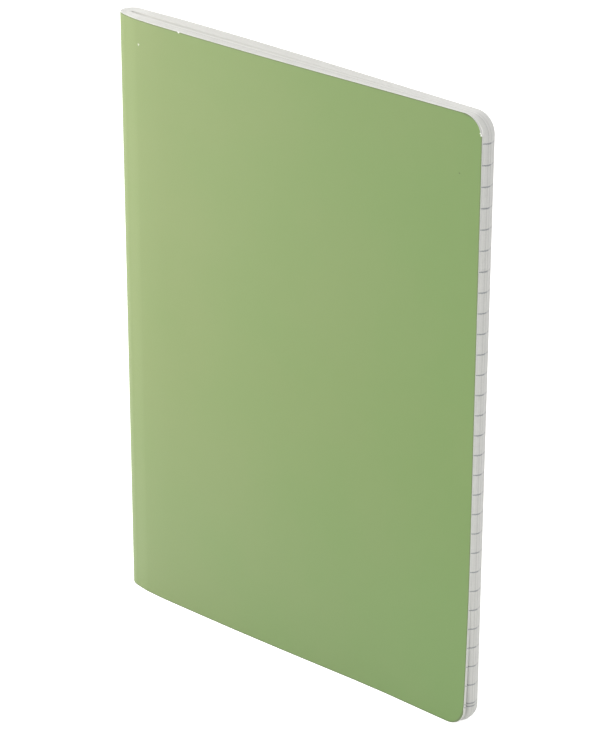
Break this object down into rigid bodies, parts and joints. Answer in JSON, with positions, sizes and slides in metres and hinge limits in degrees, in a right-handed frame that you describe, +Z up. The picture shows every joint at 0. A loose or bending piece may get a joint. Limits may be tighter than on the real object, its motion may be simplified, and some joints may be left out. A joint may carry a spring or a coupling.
{
  "type": "softcover notebook",
  "caption": "Stapled softcover notebook: a folded card cover over nested ruled sheets, with rounded fore-edge corners, whose cover halves and leaves turn about the round spine.",
  "frame": {"origin": "middle of the bottom edge of the upright, closed notebook, at the centre of its bounding box's bottom", "axes": "+X from the spine towards the fore-edge, -Y out of the front cover, +Z up along the spine"},
  "size_m": [0.15, 0.0098, 0.21],
  "materials": {
    "cover_card": "green, silk-matt laminated outside, white uncoated inside and at the cut edge",
    "ruled_paper": "uncoated white writing paper with thin grey ruled lines",
    "staple_wire": "bright drawn wire"
  },
  "bodies": {
    "spine": {"cover_spine": "cover_card", "sheet_01_fold": "ruled_paper", "sheet_02_fold": "ruled_paper", "sheet_03_fold": "ruled_paper", "sheet_04_fold": "ruled_paper", "sheet_05_fold": "ruled_paper", "sheet_06_fold": "ruled_paper", "sheet_07_fold": "ruled_paper", "sheet_08_fold": "ruled_paper", "sheet_09_fold": "ruled_paper", "sheet_10_fold": "ruled_paper", "sheet_11_fold": "ruled_paper", "sheet_12_fold": "ruled_paper", "sheet_13_fold": "ruled_paper", "sheet_14_fold": "ruled_paper", "sheet_15_fold": "ruled_paper", "sheet_16_fold": "ruled_paper", "sheet_17_fold": "ruled_paper", "sheet_18_fold": "ruled_paper", "staple_lower": "staple_wire", "staple_upper": "staple_wire"},
    "front_cover": {"front_cover": "cover_card"},
    "back_cover": {"back_cover": "cover_card"},
    "front_leaf_01": {"sheet_01_front_leaf": "ruled_paper"},
    "front_leaf_02": {"sheet_02_front_leaf": "ruled_paper"},
    "front_leaf_03": {"sheet_03_front_leaf": "ruled_paper"},
    "front_leaf_04": {"sheet_04_front_leaf": "ruled_paper"},
    "front_leaf_05": {"sheet_05_front_leaf": "ruled_paper"},
    "front_leaf_06": {"sheet_06_front_leaf": "ruled_paper"},
    "front_leaf_07": {"sheet_07_front_leaf": "ruled_paper"},
    "front_leaf_08": {"sheet_08_front_leaf": "ruled_paper"},
    "front_leaf_09": {"sheet_09_front_leaf": "ruled_paper"},
    "front_leaf_10": {"sheet_10_front_leaf": "ruled_paper"},
    "front_leaf_11": {"sheet_11_front_leaf": "ruled_paper"},
    "front_leaf_12": {"sheet_12_front_leaf": "ruled_paper"},
    "front_leaf_13": {"sheet_13_front_leaf": "ruled_paper"},
    "front_leaf_14": {"sheet_14_front_leaf": "ruled_paper"},
    "front_leaf_15": {"sheet_15_front_leaf": "ruled_paper"},
    "front_leaf_16": {"sheet_16_front_leaf": "ruled_paper"},
    "front_leaf_17": {"sheet_17_front_leaf": "ruled_paper"},
    "front_leaf_18": {"sheet_18_front_leaf": "ruled_paper"},
    "back_leaf_01": {"sheet_01_back_leaf": "ruled_paper"},
    "back_leaf_02": {"sheet_02_back_leaf": "ruled_paper"},
    "back_leaf_03": {"sheet_03_back_leaf": "ruled_paper"},
    "back_leaf_04": {"sheet_04_back_leaf": "ruled_paper"},
    "back_leaf_05": {"sheet_05_back_leaf": "ruled_paper"},
    "back_leaf_06": {"sheet_06_back_leaf": "ruled_paper"},
    "back_leaf_07": {"sheet_07_back_leaf": "ruled_paper"},
    "back_leaf_08": {"sheet_08_back_leaf": "ruled_paper"},
    "back_leaf_09": {"sheet_09_back_leaf": "ruled_paper"},
    "back_leaf_10": {"sheet_10_back_leaf": "ruled_paper"},
    "back_leaf_11": {"sheet_11_back_leaf": "ruled_paper"},
    "back_leaf_12": {"sheet_12_back_leaf": "ruled_paper"},
    "back_leaf_13": {"sheet_13_back_leaf": "ruled_paper"},
    "back_leaf_14": {"sheet_14_back_leaf": "ruled_paper"},
    "back_leaf_15": {"sheet_15_back_leaf": "ruled_paper"},
    "back_leaf_16": {"sheet_16_back_leaf": "ruled_paper"},
    "back_leaf_17": {"sheet_17_back_leaf": "ruled_paper"},
    "back_leaf_18": {"sheet_18_back_leaf": "ruled_paper"}
  },
  "joints": [
    {"name": "front_cover_hinge", "type": "hinge", "parent": "spine", "child": "front_cover", "pos_m": [-0.06992, -0.0045, 0], "axis": [0, 0, -1], "range_deg": [0, 179]},
    {"name": "back_cover_hinge", "type": "hinge", "parent": "spine", "child": "back_cover", "pos_m": [-0.06992, 0.0045, 0], "axis": [0, 0, 1], "range_deg": [0, 179]},
    {"name": "front_leaf_01_turn", "type": "hinge", "parent": "spine", "child": "front_leaf_01", "pos_m": [-0.06992, -0.0045, 0], "axis": [0, 0, -1], "range_deg": [0, 169.7]},
    {"name": "front_leaf_02_turn", "type": "hinge", "parent": "spine", "child": "front_leaf_02", "pos_m": [-0.06992, -0.0045, 0], "axis": [0, 0, -1], "range_deg": [0, 160.3]},
    {"name": "front_leaf_03_turn", "type": "hinge", "parent": "spine", "child": "front_leaf_03", "pos_m": [-0.06992, -0.0045, 0], "axis": [0, 0, -1], "range_deg": [0, 150.8]},
    {"name": "front_leaf_04_turn", "type": "hinge", "parent": "spine", "child": "front_leaf_04", "pos_m": [-0.06992, -0.0045, 0], "axis": [0, 0, -1], "range_deg": [0, 141.4]},
    {"name": "front_leaf_05_turn", "type": "hinge", "parent": "spine", "child": "front_leaf_05", "pos_m": [-0.06992, -0.0045, 0], "axis": [0, 0, -1], "range_deg": [0, 132]},
    {"name": "front_leaf_06_turn", "type": "hinge", "parent": "spine", "child": "front_leaf_06", "pos_m": [-0.06992, -0.0045, 0], "axis": [0, 0, -1], "range_deg": [0, 122.6]},
    {"name": "front_leaf_07_turn", "type": "hinge", "parent": "spine", "child": "front_leaf_07", "pos_m": [-0.06992, -0.0045, 0], "axis": [0, 0, -1], "range_deg": [0, 113.2]},
    {"name": "front_leaf_08_turn", "type": "hinge", "parent": "spine", "child": "front_leaf_08", "pos_m": [-0.06992, -0.0045, 0], "axis": [0, 0, -1], "range_deg": [0, 103.7]},
    {"name": "front_leaf_09_turn", "type": "hinge", "parent": "spine", "child": "front_leaf_09", "pos_m": [-0.06992, -0.0045, 0], "axis": [0, 0, -1], "range_deg": [0, 94.3]},
    {"name": "front_leaf_10_turn", "type": "hinge", "parent": "spine", "child": "front_leaf_10", "pos_m": [-0.06992, -0.0045, 0], "axis": [0, 0, -1], "range_deg": [0, 84.9]},
    {"name": "front_leaf_11_turn", "type": "hinge", "parent": "spine", "child": "front_leaf_11", "pos_m": [-0.06992, -0.0045, 0], "axis": [0, 0, -1], "range_deg": [0, 75.5]},
    {"name": "front_leaf_12_turn", "type": "hinge", "parent": "spine", "child": "front_leaf_12", "pos_m": [-0.06992, -0.0045, 0], "axis": [0, 0, -1], "range_deg": [0, 66]},
    {"name": "front_leaf_13_turn", "type": "hinge", "parent": "spine", "child": "front_leaf_13", "pos_m": [-0.06992, -0.0045, 0], "axis": [0, 0, -1], "range_deg": [0, 56.6]},
    {"name": "front_leaf_14_turn", "type": "hinge", "parent": "spine", "child": "front_leaf_14", "pos_m": [-0.06992, -0.0045, 0], "axis": [0, 0, -1], "range_deg": [0, 47.2]},
    {"name": "front_leaf_15_turn", "type": "hinge", "parent": "spine", "child": "front_leaf_15", "pos_m": [-0.06992, -0.0045, 0], "axis": [0, 0, -1], "range_deg": [0, 37.8]},
    {"name": "front_leaf_16_turn", "type": "hinge", "parent": "spine", "child": "front_leaf_16", "pos_m": [-0.06992, -0.0045, 0], "axis": [0, 0, -1], "range_deg": [0, 28.4]},
    {"name": "front_leaf_17_turn", "type": "hinge", "parent": "spine", "child": "front_leaf_17", "pos_m": [-0.06992, -0.0045, 0], "axis": [0, 0, -1], "range_deg": [0, 18.9]},
    {"name": "front_leaf_18_turn", "type": "hinge", "parent": "spine", "child": "front_leaf_18", "pos_m": [-0.06992, -0.0045, 0], "axis": [0, 0, -1], "range_deg": [0, 9.5]},
    {"name": "back_leaf_01_turn", "type": "hinge", "parent": "spine", "child": "back_leaf_01", "pos_m": [-0.06992, 0.0045, 0], "axis": [0, 0, 1], "range_deg": [0, 169.7]},
    {"name": "back_leaf_02_turn", "type": "hinge", "parent": "spine", "child": "back_leaf_02", "pos_m": [-0.06992, 0.0045, 0], "axis": [0, 0, 1], "range_deg": [0, 160.3]},
    {"name": "back_leaf_03_turn", "type": "hinge", "parent": "spine", "child": "back_leaf_03", "pos_m": [-0.06992, 0.0045, 0], "axis": [0, 0, 1], "range_deg": [0, 150.8]},
    {"name": "back_leaf_04_turn", "type": "hinge", "parent": "spine", "child": "back_leaf_04", "pos_m": [-0.06992, 0.0045, 0], "axis": [0, 0, 1], "range_deg": [0, 141.4]},
    {"name": "back_leaf_05_turn", "type": "hinge", "parent": "spine", "child": "back_leaf_05", "pos_m": [-0.06992, 0.0045, 0], "axis": [0, 0, 1], "range_deg": [0, 132]},
    {"name": "back_leaf_06_turn", "type": "hinge", "parent": "spine", "child": "back_leaf_06", "pos_m": [-0.06992, 0.0045, 0], "axis": [0, 0, 1], "range_deg": [0, 122.6]},
    {"name": "back_leaf_07_turn", "type": "hinge", "parent": "spine", "child": "back_leaf_07", "pos_m": [-0.06992, 0.0045, 0], "axis": [0, 0, 1], "range_deg": [0, 113.2]},
    {"name": "back_leaf_08_turn", "type": "hinge", "parent": "spine", "child": "back_leaf_08", "pos_m": [-0.06992, 0.0045, 0], "axis": [0, 0, 1], "range_deg": [0, 103.7]},
    {"name": "back_leaf_09_turn", "type": "hinge", "parent": "spine", "child": "back_leaf_09", "pos_m": [-0.06992, 0.0045, 0], "axis": [0, 0, 1], "range_deg": [0, 94.3]},
    {"name": "back_leaf_10_turn", "type": "hinge", "parent": "spine", "child": "back_leaf_10", "pos_m": [-0.06992, 0.0045, 0], "axis": [0, 0, 1], "range_deg": [0, 84.9]},
    {"name": "back_leaf_11_turn", "type": "hinge", "parent": "spine", "child": "back_leaf_11", "pos_m": [-0.06992, 0.0045, 0], "axis": [0, 0, 1], "range_deg": [0, 75.5]},
    {"name": "back_leaf_12_turn", "type": "hinge", "parent": "spine", "child": "back_leaf_12", "pos_m": [-0.06992, 0.0045, 0], "axis": [0, 0, 1], "range_deg": [0, 66]},
    {"name": "back_leaf_13_turn", "type": "hinge", "parent": "spine", "child": "back_leaf_13", "pos_m": [-0.06992, 0.0045, 0], "axis": [0, 0, 1], "range_deg": [0, 56.6]},
    {"name": "back_leaf_14_turn", "type": "hinge", "parent": "spine", "child": "back_leaf_14", "pos_m": [-0.06992, 0.0045, 0], "axis": [0, 0, 1], "range_deg": [0, 47.2]},
    {"name": "back_leaf_15_turn", "type": "hinge", "parent": "spine", "child": "back_leaf_15", "pos_m": [-0.06992, 0.0045, 0], "axis": [0, 0, 1], "range_deg": [0, 37.8]},
    {"name": "back_leaf_16_turn", "type": "hinge", "parent": "spine", "child": "back_leaf_16", "pos_m": [-0.06992, 0.0045, 0], "axis": [0, 0, 1], "range_deg": [0, 28.4]},
    {"name": "back_leaf_17_turn", "type": "hinge", "parent": "spine", "child": "back_leaf_17", "pos_m": [-0.06992, 0.0045, 0], "axis": [0, 0, 1], "range_deg": [0, 18.9]},
    {"name": "back_leaf_18_turn", "type": "hinge", "parent": "spine", "child": "back_leaf_18", "pos_m": [-0.06992, 0.0045, 0], "axis": [0, 0, 1], "range_deg": [0, 9.5]}
  ],
  "couplings": [
    {"joint": "front_leaf_01_turn", "follows": "front_cover_hinge", "ratio": 0.94737},
    {"joint": "front_leaf_02_turn", "follows": "front_cover_hinge", "ratio": 0.89474},
    {"joint": "front_leaf_03_turn", "follows": "front_cover_hinge", "ratio": 0.8421},
    {"joint": "front_leaf_04_turn", "follows": "front_cover_hinge", "ratio": 0.78947},
    {"joint": "front_leaf_05_turn", "follows": "front_cover_hinge", "ratio": 0.73684},
    {"joint": "front_leaf_06_turn", "follows": "front_cover_hinge", "ratio": 0.68421},
    {"joint": "front_leaf_07_turn", "follows": "front_cover_hinge", "ratio": 0.63158},
    {"joint": "front_leaf_08_turn", "follows": "front_cover_hinge", "ratio": 0.57895},
    {"joint": "front_leaf_09_turn", "follows": "front_cover_hinge", "ratio": 0.52632},
    {"joint": "front_leaf_10_turn", "follows": "front_cover_hinge", "ratio": 0.47368},
    {"joint": "front_leaf_11_turn", "follows": "front_cover_hinge", "ratio": 0.42105},
    {"joint": "front_leaf_12_turn", "follows": "front_cover_hinge", "ratio": 0.36842},
    {"joint": "front_leaf_13_turn", "follows": "front_cover_hinge", "ratio": 0.31579},
    {"joint": "front_leaf_14_turn", "follows": "front_cover_hinge", "ratio": 0.26316},
    {"joint": "front_leaf_15_turn", "follows": "front_cover_hinge", "ratio": 0.21053},
    {"joint": "front_leaf_16_turn", "follows": "front_cover_hinge", "ratio": 0.1579},
    {"joint": "front_leaf_17_turn", "follows": "front_cover_hinge", "ratio": 0.10526},
    {"joint": "front_leaf_18_turn", "follows": "front_cover_hinge", "ratio": 0.052632},
    {"joint": "back_leaf_01_turn", "follows": "back_cover_hinge", "ratio": 0.94737},
    {"joint": "back_leaf_02_turn", "follows": "back_cover_hinge", "ratio": 0.89474},
    {"joint": "back_leaf_03_turn", "follows": "back_cover_hinge", "ratio": 0.8421},
    {"joint": "back_leaf_04_turn", "follows": "back_cover_hinge", "ratio": 0.78947},
    {"joint": "back_leaf_05_turn", "follows": "back_cover_hinge", "ratio": 0.73684},
    {"joint": "back_leaf_06_turn", "follows": "back_cover_hinge", "ratio": 0.68421},
    {"joint": "back_leaf_07_turn", "follows": "back_cover_hinge", "ratio": 0.63158},
    {"joint": "back_leaf_08_turn", "follows": "back_cover_hinge", "ratio": 0.57895},
    {"joint": "back_leaf_09_turn", "follows": "back_cover_hinge", "ratio": 0.52632},
    {"joint": "back_leaf_10_turn", "follows": "back_cover_hinge", "ratio": 0.47368},
    {"joint": "back_leaf_11_turn", "follows": "back_cover_hinge", "ratio": 0.42105},
    {"joint": "back_leaf_12_turn", "follows": "back_cover_hinge", "ratio": 0.36842},
    {"joint": "back_leaf_13_turn", "follows": "back_cover_hinge", "ratio": 0.31579},
    {"joint": "back_leaf_14_turn", "follows": "back_cover_hinge", "ratio": 0.26316},
    {"joint": "back_leaf_15_turn", "follows": "back_cover_hinge", "ratio": 0.21053},
    {"joint": "back_leaf_16_turn", "follows": "back_cover_hinge", "ratio": 0.1579},
    {"joint": "back_leaf_17_turn", "follows": "back_cover_hinge", "ratio": 0.10526},
    {"joint": "back_leaf_18_turn", "follows": "back_cover_hinge", "ratio": 0.052632}
  ]
}
